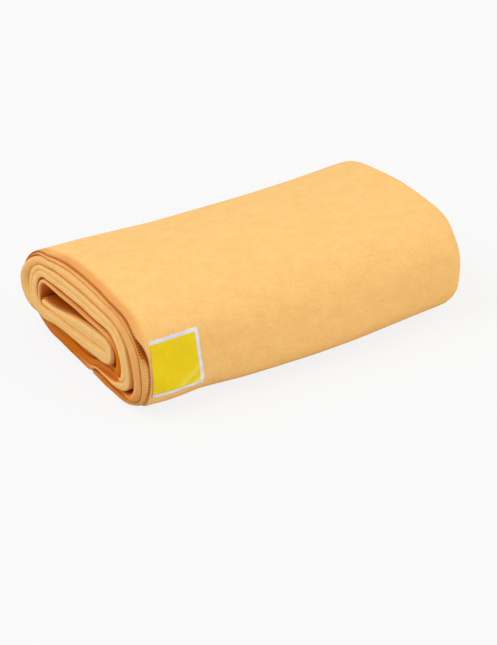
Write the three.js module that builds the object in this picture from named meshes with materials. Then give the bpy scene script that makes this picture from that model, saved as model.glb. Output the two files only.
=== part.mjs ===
// Microfibre drying towel, folded in four along its length and then rolled flat across its width.
// Millimetres. X runs along the roll and ends at the rounded folds, Y goes to the back and Z up.
// The origin is under the middle of the roll, on the surface that it lies on.
import * as THREE from 'three';

// The towel laid out flat
const towelLength = 900;
const towelWidth = 600;
const clothThickness = 2.9;
const plyGap = 0.5;
const pliesInStrip = 4;

// Folds across the strip: the wide one wraps the narrow one at the right end
const wideFoldReach = 6;
const narrowFoldReach = 1.7;

// Height that one ply takes in each run of the roll, at its front and at its back.
// The roll's own weight presses the lower runs flatter.
const tuckPitchFront = 2.2;
const tuckPitchBack = 1.7;
const corePitchFront = 2.1;
const corePitchBack = 2.2;
const middlePitchFront = 3.3;
const middlePitchBack = 2.7;
const lowerPitchFront = 2.25;
const lowerPitchBack = 3.4;
const topPitchFront = 2.5;
const topPitchBack = 2.4;
const freeEndPitch = 1.7;

// Depth that one ply takes where the strip turns, from the core outward
const nosePitch = 2.1;
const innerBackPitch = 2.4;
const innerFrontPitch = 4.1;
const outerBackPitch = 2.6;
const outerFrontPitch = 2.7;

// Clear space left inside the roll
const hollowHeight = 12.6;
const hollowDepth = 7;
const noseBend = 1;
const noseClearance = 1;
const noseInset = 1;
const crownRise = 2.8;

// Ends of the strip
const tuckShortfall = 18;
const slackShare = 0.005;
const freeEndLength = 23;
const freeEndStagger = 7;
const rampStart = 2;
const rampLength = 16;

// Sewn edge of the towel
const seamWidth = 1.5;
const seamGap = 0.3;

// Round the front, the outermost ply's sewn edge lies this much further in than elsewhere
const edgeSetBack = 4.8;

// Label, caught in that edge at the front of the left end
const labelHeight = 33;
const labelWidth = 31;
const labelBottom = 12.6;
const labelBorder = 1.6;
const ribbonThickness = 0.4;
const panelThickness = 0.3;
const labelGap = 0.3;

// Exponents of the turns' outlines: 2 is an ellipse, and more is squarer
const roundTurn = 2;
const slopingTurn = 1.8;
const settledTurn = 2.9;
const footTurn = 4;

const clothColour = 0xf7c27c;
const seamColour = 0xe9a65a;
const ribbonColour = 0xeceaf4;
const panelColour = 0xecd000;

const lerp = THREE.MathUtils.lerp;
const strip = (pitch) => pitch * pliesInStrip;

// Heights in the roll

// Every run lies on the one below it. A place along a run goes from 0 at the front to 1 at the back.
const freeEndTop = strip(freeEndPitch);

// Half lengths of the turns, measured along the middle of the strip
function turnLength(innerReach, outerReach, innerRise, outerRise) {
  const reach = (innerReach + outerReach) / 2;
  const rise = (innerRise + outerRise) / 2;
  return Math.PI * Math.sqrt((reach * reach + rise * rise) / 2);
}

const frontStack = [
  ['lower', lowerPitchFront],
  ['core', corePitchFront],
  ['tuck', tuckPitchFront],
  ['middle', middlePitchFront],
  ['top', topPitchFront],
];
const frontLevel = {};
let level = freeEndTop + plyGap;
for (const [name, pitch] of frontStack) {
  frontLevel[name] = { bottom: level, top: level + strip(pitch) };
  level += strip(pitch) + plyGap;
}

const backLevel = {};
backLevel.lower = { bottom: 0, top: strip(lowerPitchBack) };
backLevel.core = { bottom: backLevel.lower.top + plyGap };
backLevel.core.top = backLevel.core.bottom + strip(corePitchBack);
backLevel.middle = { bottom: backLevel.core.top + hollowHeight };
backLevel.middle.top = backLevel.middle.bottom + strip(middlePitchBack);
backLevel.top = { bottom: backLevel.middle.top + plyGap };
backLevel.top.top = backLevel.top.bottom + strip(topPitchBack);

// Reaches of the turns beyond the ends of the runs
const noseReach = noseBend + strip(nosePitch);
const innerFrontReach = noseReach - noseInset + noseClearance;
const middleFrontReach = innerFrontReach + strip(innerFrontPitch);
const outerFrontReach = middleFrontReach + plyGap + strip(outerFrontPitch);
const middleBackReach = hollowDepth + strip(innerBackPitch);
const outerBackReach = middleBackReach + plyGap + strip(outerBackPitch);

const halfSpan = (low, high) => (high - low) / 2;
const turnLengths = [
  turnLength(noseBend, noseReach,
    halfSpan(frontLevel.core.top, frontLevel.tuck.bottom),
    halfSpan(frontLevel.core.bottom, frontLevel.tuck.top)),
  turnLength(hollowDepth, middleBackReach,
    halfSpan(backLevel.core.top, backLevel.middle.bottom),
    halfSpan(backLevel.core.bottom, backLevel.middle.top)),
  turnLength(innerFrontReach, middleFrontReach,
    halfSpan(frontLevel.lower.top, frontLevel.middle.bottom),
    halfSpan(frontLevel.lower.bottom, frontLevel.middle.top)),
  turnLength(middleBackReach + plyGap, outerBackReach,
    halfSpan(backLevel.lower.top, backLevel.top.bottom),
    halfSpan(0, backLevel.top.top)),
  turnLength(middleFrontReach + plyGap, outerFrontReach,
    halfSpan(freeEndTop, frontLevel.top.bottom),
    halfSpan(0, frontLevel.top.top)),
];
const lengthInTurns = turnLengths.reduce((sum, length) => sum + length, 0);

// The towel's width, less what soft waves take up, fills five runs between the turns,
// and the last part lies free under the front
const fullRuns = 5;
const rolledWidth = towelWidth * (1 - slackShare);
const runLength = (rolledWidth - lengthInTurns - freeEndLength + tuckShortfall + 2 * noseInset) / fullRuns;

// The label stands out at the front, and the roll is centred with it
const labelDepth = 2 * labelGap + ribbonThickness + panelThickness;
const frontY = -(runLength + outerBackReach - outerFrontReach - labelDepth) / 2;
const backY = frontY + runLength;
const noseY = frontY + noseInset;
const tuckY = backY - tuckShortfall;
const tipY = frontY + freeEndLength;
const rampTopY = tipY + rampStart;
const rampFootY = rampTopY + rampLength;

// The lower run rides over the free end at the front and comes down to the floor behind it
function lift(y) {
  const down = THREE.MathUtils.clamp((y - rampTopY) / rampLength, 0, 1);
  return (freeEndTop + plyGap) * (1 - down);
}

function runLevels(y) {
  const back = (y - frontY) / runLength;
  const crown = crownRise * Math.sin(Math.PI * THREE.MathUtils.clamp(back, 0, 1));
  const thickness = (front, rear) => strip(lerp(front, rear, back));
  const lower = { bottom: lift(y), top: lerp(frontLevel.lower.top, backLevel.lower.top, back) };
  const core = { bottom: lower.top + plyGap };
  core.top = core.bottom + thickness(corePitchFront, corePitchBack);
  const tuck = { bottom: core.top + plyGap };
  tuck.top = tuck.bottom + thickness(tuckPitchFront, tuckPitchBack);
  const middle = { bottom: lerp(frontLevel.middle.bottom, backLevel.middle.bottom, back) + crown };
  middle.top = middle.bottom + thickness(middlePitchFront, middlePitchBack);
  const top = { bottom: middle.top + plyGap };
  top.top = top.bottom + thickness(topPitchFront, topPitchBack);
  return { lower, core, tuck, middle, top };
}

// Stations along the strip, each with a point on its inner face and one on its outer face,
// and the distance that the outermost ply's edge is set back there

const stations = [];
let setBack = 0;
const addStation = (innerY, innerZ, outerY, outerZ) => {
  stations.push({
    inner: new THREE.Vector2(innerY, innerZ), outer: new THREE.Vector2(outerY, outerZ), setBack,
  });
};

// In the upper runs the strip's outer face looks up, and in the lower runs it looks down
function addUpperRun(name, places) {
  for (const y of places) {
    const run = runLevels(y)[name];
    addStation(y, run.bottom, y, run.top);
  }
}

function addLowerRun(name, places) {
  for (const y of places) {
    const run = runLevels(y)[name];
    addStation(y, run.top, y, run.bottom);
  }
}

// Half of a superellipse between two runs; side is 1 at the back, where the strip climbs,
// and -1 at the front, where it comes down
function addTurn(centreY, side, inner, outer, steps, lowerExponent, upperExponent) {
  for (let i = 1; i < steps; i += 1) {
    const angle = Math.PI * (i / steps - 1 / 2) * side;
    const exponent = angle < 0 ? lowerExponent : upperExponent;
    const across = Math.cos(angle) ** (2 / exponent);
    const up = Math.sign(angle) * Math.abs(Math.sin(angle)) ** (2 / exponent);
    const place = (face) => [
      centreY + side * face.reach * across,
      (face.low + face.high) / 2 + up * halfSpan(face.low, face.high),
    ];
    addStation(...place(inner), ...place(outer));
  }
}

addUpperRun('tuck', [tuckY, rampFootY, rampTopY, noseY]);
addTurn(noseY, -1,
  { reach: noseBend, low: runLevels(noseY).core.top, high: runLevels(noseY).tuck.bottom },
  { reach: noseReach, low: runLevels(noseY).core.bottom, high: runLevels(noseY).tuck.top },
  4, roundTurn, roundTurn);
addLowerRun('core', [noseY, rampTopY, rampFootY, backY]);
addTurn(backY, 1,
  { reach: hollowDepth, low: backLevel.core.top, high: backLevel.middle.bottom },
  { reach: middleBackReach, low: backLevel.core.bottom, high: backLevel.middle.top },
  5, roundTurn, roundTurn);
addUpperRun('middle', [backY, rampFootY, rampTopY, frontY]);
addTurn(frontY, -1,
  { reach: innerFrontReach, low: frontLevel.lower.top, high: frontLevel.middle.bottom },
  { reach: middleFrontReach, low: frontLevel.lower.bottom, high: frontLevel.middle.top },
  6, settledTurn, roundTurn);
addLowerRun('lower', [frontY, rampTopY, rampFootY, backY]);
addTurn(backY, 1,
  { reach: middleBackReach + plyGap, low: backLevel.lower.top, high: backLevel.top.bottom },
  { reach: outerBackReach, low: 0, high: backLevel.top.top },
  9, slopingTurn, slopingTurn);
addUpperRun('top', [backY, rampFootY, rampTopY, frontY]);
const outerTurnStart = stations.length - 1;
setBack = edgeSetBack;
addTurn(frontY, -1,
  { reach: middleFrontReach + plyGap, low: freeEndTop, high: frontLevel.top.bottom },
  { reach: outerFrontReach, low: 0, high: frontLevel.top.top },
  10, footTurn, roundTurn);
addStation(frontY, freeEndTop, frontY, 0);
const outerTurnEnd = stations.length - 1;
addStation(tipY - freeEndStagger, freeEndTop, tipY, 0);

// The room that one ply has at a station, square to the strip, and the cloth's thickness in it
for (const [i, station] of stations.entries()) {
  const before = stations[Math.max(i - 1, 0)];
  const after = stations[Math.min(i + 1, stations.length - 1)];
  const middle = (s) => s.inner.clone().add(s.outer).divideScalar(2);
  const along = middle(after).sub(middle(before)).normalize();
  const across = station.outer.clone().sub(station.inner);
  station.pitch = Math.abs(along.cross(across)) / pliesInStrip;
  station.cloth = Math.min(clothThickness, station.pitch - plyGap);
}

// Folded cloth

const wideFoldArc = Math.PI * wideFoldReach;
const narrowFoldArc = Math.PI * narrowFoldReach;
const panelLength = (towelLength - wideFoldArc - 2 * narrowFoldArc) / pliesInStrip;
const rollLength = seamWidth + seamGap + panelLength + wideFoldReach + clothThickness / 2;
const cutX = -rollLength / 2 + seamWidth + seamGap;
const bendX = cutX + panelLength;
const turnX = -rollLength / 2 + narrowFoldReach + clothThickness / 2;

// Middle line of the cloth across the strip: from one cut end, round the wide fold,
// back to the closed fold at the left, round the narrow fold and out to the other cut end.
// The second value is the place through the strip, counted in plies from its inner face.
const plyPlace = (ply) => ply + 1 / 2;
const innermost = plyPlace(0);
const second = plyPlace(1);
const third = plyPlace(2);
const outermost = plyPlace(pliesInStrip - 1);
const wideFoldSteps = 4;
const folds = [];
for (let i = 0; i <= wideFoldSteps; i += 1) {
  const angle = Math.PI * (i / wideFoldSteps);
  const x = bendX + wideFoldReach * Math.sin(angle);
  folds.push([x, (outermost + innermost) / 2 + ((outermost - innermost) / 2) * Math.cos(angle)]);
}
folds.push([turnX, innermost]);
folds.push([turnX - narrowFoldReach, (innermost + second) / 2]);
folds.push([turnX, second]);
folds.push([bendX, second]);
folds.push([bendX + narrowFoldReach, (second + third) / 2]);
folds.push([bendX, third]);
const crossLine = (station) => [[cutX + station.setBack, outermost], ...folds, [cutX, third]];

// Both faces of a cloth line at one station, half the cloth away from its middle
function clothFaces(line, pitch, thickness) {
  const points = line.map(([x, ply]) => new THREE.Vector2(x, ply * pitch));
  const faces = [[], []];
  points.forEach((point, i) => {
    const into = point.clone().sub(points[Math.max(i - 1, 0)]);
    const out = points[Math.min(i + 1, points.length - 1)].clone().sub(point);
    const along = into.normalize().add(out.normalize()).normalize();
    const side = new THREE.Vector2(-along.y, along.x).multiplyScalar(thickness / 2);
    faces[0].push(point.clone().add(side));
    faces[1].push(point.clone().sub(side));
  });
  return faces;
}

// The heights leave half a gap under the lowest ply, and the roll is set down by it
const setDown = plyGap / 2;

function atStation(station, point) {
  const share = point.y / (station.pitch * pliesInStrip);
  const place = station.inner.clone().lerp(station.outer, share);
  return [point.x, place.x, place.y - setDown];
}

// A closed body from rings of points; each ring runs out along one face and back along the other
function ringBody(rings, name, colour) {
  const count = rings[0].length;
  const positions = rings.flat(2);
  const indices = [];
  for (let r = 0; r + 1 < rings.length; r += 1) {
    for (let i = 0; i < count; i += 1) {
      const a = r * count + i;
      const b = r * count + ((i + 1) % count);
      indices.push(a, a + count, b, b, a + count, b + count);
    }
  }
  const last = (rings.length - 1) * count;
  for (let i = 0; i + 1 < count / 2; i += 1) {
    const a = i;
    const b = i + 1;
    const c = count - 1 - i;
    const d = count - 2 - i;
    indices.push(a, b, c, b, d, c);
    indices.push(last + a, last + c, last + b, last + b, last + c, last + d);
  }
  const geometry = new THREE.BufferGeometry();
  geometry.setAttribute('position', new THREE.Float32BufferAttribute(positions, 3));
  geometry.setIndex(indices);
  geometry.computeVertexNormals();
  const material = new THREE.MeshStandardMaterial({ color: colour, roughness: 1, metalness: 0 });
  const mesh = new THREE.Mesh(geometry, material);
  mesh.name = name;
  return mesh;
}

function clothBody(line, along, name, colour) {
  const rings = along.map((station) => {
    const [left, right] = clothFaces(line(station), station.pitch, station.cloth);
    return [...left, ...right.reverse()].map((point) => atStation(station, point));
  });
  return ringBody(rings, name, colour);
}

// Sewn edges: along both cut sides of the strip, and across both of its ends

const seamAt = (edgeX, place) => [[edgeX - seamGap - seamWidth, place], [edgeX - seamGap, place]];
const outerSeamLine = (station) => seamAt(cutX + station.setBack, outermost);
const innerSeamLine = () => seamAt(cutX, third);

function beyondEnd(end, neighbour) {
  const direction = end.outer.clone().sub(neighbour.outer).normalize();
  const shifted = (distance) => ({
    ...end,
    inner: end.inner.clone().addScaledVector(direction, distance),
    outer: end.outer.clone().addScaledVector(direction, distance),
  });
  return [shifted(seamGap), shifted(seamGap + seamWidth)];
}
const startSeam = beyondEnd(stations[0], stations[1]).reverse();
const freeSeam = beyondEnd(stations[stations.length - 1], stations[stations.length - 2]);

// Label

// Outline of the outermost ply's face round the front, from the top run down to the floor
const frontFace = stations.slice(outerTurnStart, outerTurnEnd + 1).map((station) => {
  const height = outermost * station.pitch + station.cloth / 2;
  const [, y, z] = atStation(station, new THREE.Vector2(0, height));
  return new THREE.Vector2(y, z);
});

// The part of that outline between two places, measured from the label's lower edge upward
function facePart(from, to) {
  const climb = [...frontFace].reverse();
  const lengths = [0];
  climb.slice(1).forEach((point, i) => lengths.push(lengths[i] + point.distanceTo(climb[i])));
  const pointAt = (distance) => {
    const i = Math.max(lengths.findIndex((length) => length > distance), 1);
    const share = (distance - lengths[i - 1]) / (lengths[i] - lengths[i - 1]);
    return climb[i - 1].clone().lerp(climb[i], share);
  };
  const above = climb.findIndex((point) => point.y > labelBottom);
  const share = (labelBottom - climb[above - 1].y) / (climb[above].y - climb[above - 1].y);
  const origin = lerp(lengths[above - 1], lengths[above], share);
  const inside = climb.filter((point, i) => lengths[i] > origin + from && lengths[i] < origin + to);
  return [pointAt(origin + from), ...inside, pointAt(origin + to)];
}

// A thin patch that follows the outline at a height above it
function patch(from, to, left, right, above, thickness, name, colour) {
  const line = facePart(from, to);
  const rings = line.map((point, i) => {
    const along = line[Math.min(i + 1, line.length - 1)].clone().sub(line[Math.max(i - 1, 0)]).normalize();
    const away = new THREE.Vector2(-along.y, along.x);
    const low = point.clone().addScaledVector(away, above);
    const high = point.clone().addScaledVector(away, above + thickness);
    return [[left, low.x, low.y], [right, low.x, low.y], [right, high.x, high.y], [left, high.x, high.y]];
  });
  return ringBody(rings, name, colour);
}

const panelAbove = labelDepth - panelThickness;
const labelLeft = cutX + edgeSetBack;
const labelRight = labelLeft + labelWidth;

const towel = new THREE.Group();
towel.add(
  clothBody(crossLine, stations, 'towel_cloth', clothColour),
  clothBody(outerSeamLine, stations, 'seam_outer_side', seamColour),
  clothBody(innerSeamLine, stations, 'seam_inner_side', seamColour),
  clothBody(crossLine, startSeam, 'seam_start_end', seamColour),
  clothBody(crossLine, freeSeam, 'seam_free_end', seamColour),
  patch(0, labelHeight, labelLeft, labelRight, labelGap, ribbonThickness, 'label_ribbon', ribbonColour),
  patch(labelBorder, labelHeight - labelBorder, labelLeft, labelRight - labelBorder,
    panelAbove, panelThickness, 'label_panel', panelColour),
);

export default towel;
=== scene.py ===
import math
import bpy
import numpy as np
from mathutils import Matrix


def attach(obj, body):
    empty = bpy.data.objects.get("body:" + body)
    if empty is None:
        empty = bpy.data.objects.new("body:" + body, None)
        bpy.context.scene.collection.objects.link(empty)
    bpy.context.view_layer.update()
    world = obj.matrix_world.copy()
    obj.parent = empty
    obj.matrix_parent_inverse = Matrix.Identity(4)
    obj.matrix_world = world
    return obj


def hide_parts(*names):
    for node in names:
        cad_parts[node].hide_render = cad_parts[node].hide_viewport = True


# Microfibre drying towel, folded in four and rolled flat. Shapes are worked out in millimetres
# and turned into metres where a mesh is made. X runs along the roll, Y to the back, Z up.
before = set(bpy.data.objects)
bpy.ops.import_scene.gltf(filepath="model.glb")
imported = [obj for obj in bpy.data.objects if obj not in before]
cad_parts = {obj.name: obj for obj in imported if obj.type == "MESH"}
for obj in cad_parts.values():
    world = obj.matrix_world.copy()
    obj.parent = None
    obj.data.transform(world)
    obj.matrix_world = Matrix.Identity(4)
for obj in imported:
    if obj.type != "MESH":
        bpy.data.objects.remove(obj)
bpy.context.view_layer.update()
millimetre = 0.001  # in metres


# An object at a place in metres, its own axes along three unit vectors
def placeObject(name, data, place, axes):
    placed = bpy.data.objects.new(name, data)
    turn = Matrix([list(row) for row in np.stack(axes, axis=1)]).to_4x4()
    placed.matrix_world = Matrix.Translation(place) @ turn
    bpy.context.collection.objects.link(placed)
    return placed


# Camera: a long lens from the front left, at the photograph's viewing angle
view = {
    "place": (-0.8468, -1.2795, 0.9048),  # metres
    "right": (0.8338, -0.5520, 0.0),
    "up": (0.2819, 0.4257, 0.8598),
    "roll": 0.0101,  # radians
    "lens": 218.2,  # mm
    "sensor": 36.0,  # mm
}

# Right and up turned by the roll: right' = c right + s up, up' = c up - s right
right = np.array(view["right"])
up = np.array(view["up"])
rolledRight = math.cos(view["roll"]) * right + math.sin(view["roll"]) * up
rolledUp = math.cos(view["roll"]) * up - math.sin(view["roll"]) * right
cameraData = bpy.data.cameras.new("camera")
cameraData.lens = view["lens"]
cameraData.sensor_width = view["sensor"]
cameraData.sensor_fit = "HORIZONTAL"
cameraAxes = (rolledRight, rolledUp, np.cross(rolledRight, rolledUp))
bpy.context.scene.camera = placeObject("camera", cameraData, view["place"], cameraAxes)
print("camera placed")


# Rolled strip: every run lies on the one below it
roll = {
    "frontY": -28.9,  # where the runs end and the front turns start
    "noseY": -28.0,  # start of the tight turn in the core
    "backY": 39.0,
    "tuckY": 40.5,  # start of the towel, tucked inside
    "tuckSlant": 0.5,  # its upper face starts this much further back
    "slantPower": 4,
    "tipY": -6.5,  # end of the towel, on the floor
    "tipStagger": 7.0,  # the inner plies of the free end stop this much earlier
    "rampTopY": -17.0,  # the lower run comes down to the floor behind the free end
    "rampFootY": -3.0,
    "freeEndTop": 6.8,
    "gap": 0.05,  # between two runs
    "levelY": [-29, 5, 22, 26.5, 29.5, 39],  # the heights of the runs' faces are given here
    "topOuter": [58.3, 61.0, 60.2, 59.5, 59.1, 56.4],
    "topInner": [49.2, 50.4, 50.0, 49.7, 49.3, 47.6],
    "middleInner": [35.4, 35.6, 35.8, 35.8, 36.0, 36.4],
    "tuckOuter": [34.9, 31.3, 27.6, 26.7, 26.2, 25.8],
    "coreInner": [25.8, 23.2, 22.6, 22.3, 22.0, 21.6],
    "coreOuter": [17.0, 16.2, 15.9, 15.7, 15.5, 14.5],
    "noseReach": (0.8, 9.8),  # of a turn's inner and outer face
    "noseTurn": (2, 2),  # superellipse exponents of its lower and upper half
    "hollowReach": (4.9, 17.0),
    "hollowTurn": (2.6, 2),
    "innerFrontReach": (10.3, 27.2),
    "innerFrontTurn": (2.9, 2),
    "outerBackReach": (18.5, 31.4),
    "outerBackTurn": (1.6, 1.6),
    "outerFrontReach": (27.6, 36.7),
    "outerFrontTurn": (4, 2),
    "runSteps": 160,  # points drawn along a run, a turn and the free end
    "turnSteps": 200,
    "endSteps": 60,
    "evenStep": 0.5,  # spacing in mm while the strip is smoothed
    "smoothing": 1.6,  # width of the running mean in mm
    "bendDensity": 9,  # stations lie closer where the strip bends, up to sharpBend radians per mm
    "sharpBend": 0.25,
    "stations": 270,
}

# How the four plies share the strip's depth, in percent from its inner face, where their left ends are,
# in millimetres from leftX, and how far these splay outward. The shades are painted shade on the ends,
# and the lines are the strengths of painted shade in the creases: inner face, fold to inner ply, inner
# to outer ply, outer face. The outer ply covers the inner one, and paints its shade on it, from coverX.
# Place counts runs and turns: 0 tuck, 1 nose, 2 core, 3 hollow, 4 middle, 5 inner front, 6 lower,
# 7 outer back, 8 top, 9 outer front, 10 free end.
leftX = -115
percentColumns = ["foldTop", "innerLow", "innerTop", "outerLow", "outerTop"]
endColumns = ["foldX", "innerX", "outerX", "coverX"]
plyColumns = ["place", *percentColumns, *endColumns, "splay", "foldShade", "innerShade", "outerShade",
              "innerLine", "foldLine", "plyLine", "outerLine"]
plyRows = [
    [   0,  6,  6, 90, 90, 100, -0.5,   -1,  0.1, -0.8,   0, 0.15,   0,    0, 0.3,  0.2, 0.2,   2],
    [   1,  6,  6, 90, 90, 100, -0.5,   -1,  0.1, -0.8,   0, 0.15,   0,    0, 0.3,  0.2, 0.2,   2],
    [ 1.5,  6,  6, 90, 90, 100, -0.7, -1.2, -0.1,   -1,   0, 0.15,   0,    0, 0.3,  0.2, 0.2,   2],
    [   2,  6,  6, 90, 90, 100, -0.9, -1.4, -0.3, -1.2,   0, 0.15,   0,    0, 0.3,  0.2, 0.2,   2],
    [ 2.6,  6,  6, 90, 90, 100, -1.4, -1.9, -0.8, -1.7,   0, 0.15,   0,    0, 0.3,  0.2, 0.2, 1.8],
    [ 2.8,  6,  6, 88, 88, 100, -1.6, -2.1, -1.4, -1.9,   0, 0.15,   0,    0, 0.3,  0.2, 0.2, 1.4],
    [2.91,  6,  7, 84, 84, 100, -1.8, -2.2, -2.3,   -2,   0,  0.1,   0,    0, 0.6,  0.3, 0.2,   1],
    [   3,  7,  8, 78, 78, 100, -1.6, -2.2, -2.3,   -2,   0,  0.1,   0,    0, 1.6,  0.3, 0.2, 0.3],
    [3.25, 14, 16, 76, 76, 100, -1.7, -1.9,   -2, -1.7,   0,  0.1,   0,    0, 1.6, 0.15, 0.2, 0.1],
    [ 3.5, 23, 27, 75, 75, 100,   -1, -1.4, -1.4, -1.2,   0,  0.1,   0,    0, 0.9,  0.5, 0.2, 0.1],
    [   4, 26, 36, 72, 72, 100, -0.3, -0.8, -0.8, -0.6,   0,  0.1,   0,    0, 0.9,    1, 0.3, 0.2],
    [ 4.5, 27, 43, 73, 73, 100, -0.4,   -1,   -1, -0.8,   0,  0.1,   0,    0, 0.9,    1, 0.3, 0.2],
    [   5, 28, 45, 73, 73, 100, -0.6, -1.2, -1.2,   -1,   0,  0.1,   0,    0, 0.9,    1, 0.3, 0.3],
    [ 5.5, 39, 43, 71, 71, 100, -0.4, -1.2,   -1,   -1,   0,  0.1,   0,    0,   1,  0.8, 0.2, 0.4],
    [ 5.7, 42, 45, 68, 68, 100, -0.4,   -1,   -1, -0.8,   0,    0,   0,    0,   1,  0.8, 0.2, 0.5],
    [ 5.8, 40, 42, 62, 62, 100,  0.2,  0.2, -0.8,  0.4,   0,  0.4, 0.2,    0,   1,  0.8, 0.6, 0.6],
    [ 5.9, 38, 40, 68, 68, 100,  2.4,  2.4, -0.4,  2.6,   0,  0.9, 0.9,    0,   1,    1, 0.9, 0.8],
    [   6, 40, 42, 80, 80, 100,  3.2,    3,    0,  3.2,   0,  0.9, 0.9,    0,   1,    1, 0.9, 0.9],
    [ 6.2, 45, 47, 88, 88, 100,  3.2,  2.8,  0.8,    3,   0,  0.9, 0.9,  0.1,   1,    1, 0.9, 0.9],
    [ 6.3, 48, 50, 80, 80, 100,  3.2,  2.8,  2.2,    3,   0,  0.9, 0.9,  0.5,   1,    1, 0.9, 0.9],
    [ 6.5, 48, 50, 75, 75, 100,  3.4,  3.3,  3.2,  3.5,   0,    1,   1,  0.9,   1,    1, 0.9, 0.9],
    [   7, 20, 22, 62, 62, 100,  3.8,  4.4,  4.5,  4.6,   0,    1,   1,  0.9,   1,    1, 0.9, 0.6],
    [7.17, 34, 36, 68, 68, 100, -0.8,    4,  4.3,  4.2,   0,  0.1,   1,  0.9, 0.3,    1, 0.9, 0.2],
    [7.25, 62, 64, 82, 82, 100, -1.6,  3.4,  3.8,  3.6,   0,    0, 0.9,  0.8, 0.2,    1, 0.9,   0],
    [7.33, 85, 86, 93, 93, 100, -1.8,  2.8,  3.4,    3,   0,    0, 0.9,  0.8, 0.2,    1, 0.9,   0],
    [ 7.5, 85, 86, 93, 93, 100, -1.8,  2.4,    3,  2.6,   0,    0, 0.9,  0.9, 0.2,    1, 0.9,   0],
    [7.67, 82, 83, 91, 91, 100, -1.2,    2,  2.6,  2.2,   0,    0, 0.9,  0.9, 0.2,    1, 0.9,   0],
    [7.83, 68, 70, 85, 85, 100, -0.6,  1.2,  1.8,  1.4,   0,    0, 0.5,  0.7, 0.2,    1, 0.9,   0],
    [   8, 60, 62, 80, 81, 100, -0.4,  0.1,  1.1,  0.3,   0,    0,   0,  0.3, 0.2,    1,   1,   0],
    [8.25, 58, 60, 77, 80, 100, -0.4,  0.6,  2.6,  1.2,   0,    0,   0,  0.5, 0.2,    1,   1,   0],
    [ 8.5, 58, 60, 76, 80, 100, -0.4,  1.2,  3.2,  1.7,   0,    0,   0,  0.5, 0.2,    1,   1,   0],
    [ 8.8, 58, 60, 76, 80, 100, -0.4,  1.3,  3.2,  1.8,   0,    0,   0,  0.5, 0.2,    1,   1,   0],
    [   9, 58, 60, 76, 80, 100, -0.4,    1,  2.7,  1.5, 0.4,    0,   0,  0.5, 0.3,    1,   1,   0],
    [9.17, 60, 62, 78, 81, 100, -0.4,  1.2,    3,  1.8, 0.8,    0,   0, 0.45, 0.4,    1,   1,   0],
    [9.27, 60, 62, 76, 84, 103, -0.4,  1.6,  2.8,  1.8,   1,    0,   0,  0.3, 0.4,    1,   1,   0],
    [9.34, 60, 62, 74, 88, 107, -0.4,  1.8,  5.2,  1.6, 1.2,    0,   0,  0.1, 0.4,    1, 1.6,   0],
    [ 9.4, 60, 62, 73, 88, 106, -0.4,    2,  6.7,  2.4, 1.6,    0,   0,    0, 0.4,    1, 1.6,   0],
    [9.45, 60, 62, 76, 84, 103, -0.4,    2,  7.4,  5.4,   2,    0,   0,    0, 0.4,    1,   1,   0],
    [ 9.6, 60, 62, 79, 80, 100, -0.4,    2,  5.8,  5.2,   2,    0,   0,    0, 0.5,    1, 0.9,   0],
    [ 9.8, 56, 58, 78, 79, 100,    0,  1.6,    6,  5.4, 0.8,  0.1, 0.2,    0, 0.9,    1, 0.9,   0],
    [ 9.9, 50, 52, 78, 78, 100,  1.4,  0.6,  6.4,  5.8, 0.3,  0.7, 0.8,    0,   1,    1, 0.9, 0.3],
    [  10, 42, 44, 76, 76, 100,  2.4,  0.4,  6.8,    6, 0.3,  0.9, 0.9,  0.2,   1,    1, 0.9, 0.6],
    [10.5, 42, 44, 76, 76, 100,    3,  1.8,  7.2,    6, 1.6,  0.9, 0.9,  0.5,   1,    1, 0.9, 0.6],
    [  11, 42, 44, 76, 76, 100,  3.5,  2.6,  7.4,    6, 1.5,  0.9, 0.9,  0.5,   1,    1, 0.9, 0.6],
]

# Left ends and shares are a little uneven along the strip
waveWeights = (0.6, 0.4)
endWaves = {
    "size": 0.25,  # mm
    "lengths": (11, 4.3),  # mm for each radian
    "phases": {"foldX": (0.4, 0.8), "innerX": (2.1, 4.2), "outerX": (4.4, 8.8)},
}
shareWaves = {
    "size": 0.015,
    "lengths": (9, 5.1),
    "phases": {"foldTop": (1.3, 1.3), "innerLow": (1.3, 1.3), "innerTop": (3, 3), "outerLow": (3, 3)},
    "within": (0.15, 0.85),  # shares outside these stay even
}


# Cubic through the values at places, each slope taken from the two neighbours
def curveThrough(places, values, at):
    places = np.asarray(places, float)
    values = np.asarray(values, float)
    slopes = np.gradient(values, places)
    i = np.clip(np.searchsorted(places, at, side="right") - 1, 0, len(places) - 2)
    step = places[i + 1] - places[i]
    t = np.clip((at - places[i]) / step, 0, 1)
    return (
        (2 * t**3 - 3 * t**2 + 1) * values[i] + (t**3 - 2 * t**2 + t) * step * slopes[i]
        + (3 * t**2 - 2 * t**3) * values[i + 1] + (t**3 - t**2) * step * slopes[i + 1]
    )


# Smooth step: 3 t^2 - 2 t^3 between low and high
def ease(value, low, high):
    t = np.clip((value - low) / (high - low), 0, 1)
    return t * t * (3 - 2 * t)


# Vectors divided by their own length
def unit(vectors):
    return vectors / np.linalg.norm(vectors, axis=-1, keepdims=True)


# Distance along a line of points: running sum of its steps
def lengthAlong(points):
    return np.concatenate([[0], np.cumsum(np.linalg.norm(np.diff(points, axis=0), axis=1))])


# Distance along the middle of the strip
def stripDistance(rows):
    return lengthAlong((rows[:, 0:2] + rows[:, 2:4]) / 2)


# Height of the lower run's underside: the free end's top at the front, a half cosine down to the floor
def lift(y):
    down = np.clip((y - roll["rampTopY"]) / (roll["rampFootY"] - roll["rampTopY"]), 0, 1)
    return (roll["freeEndTop"] + roll["gap"]) * (1 + np.cos(np.pi * down)) / 2


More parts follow.
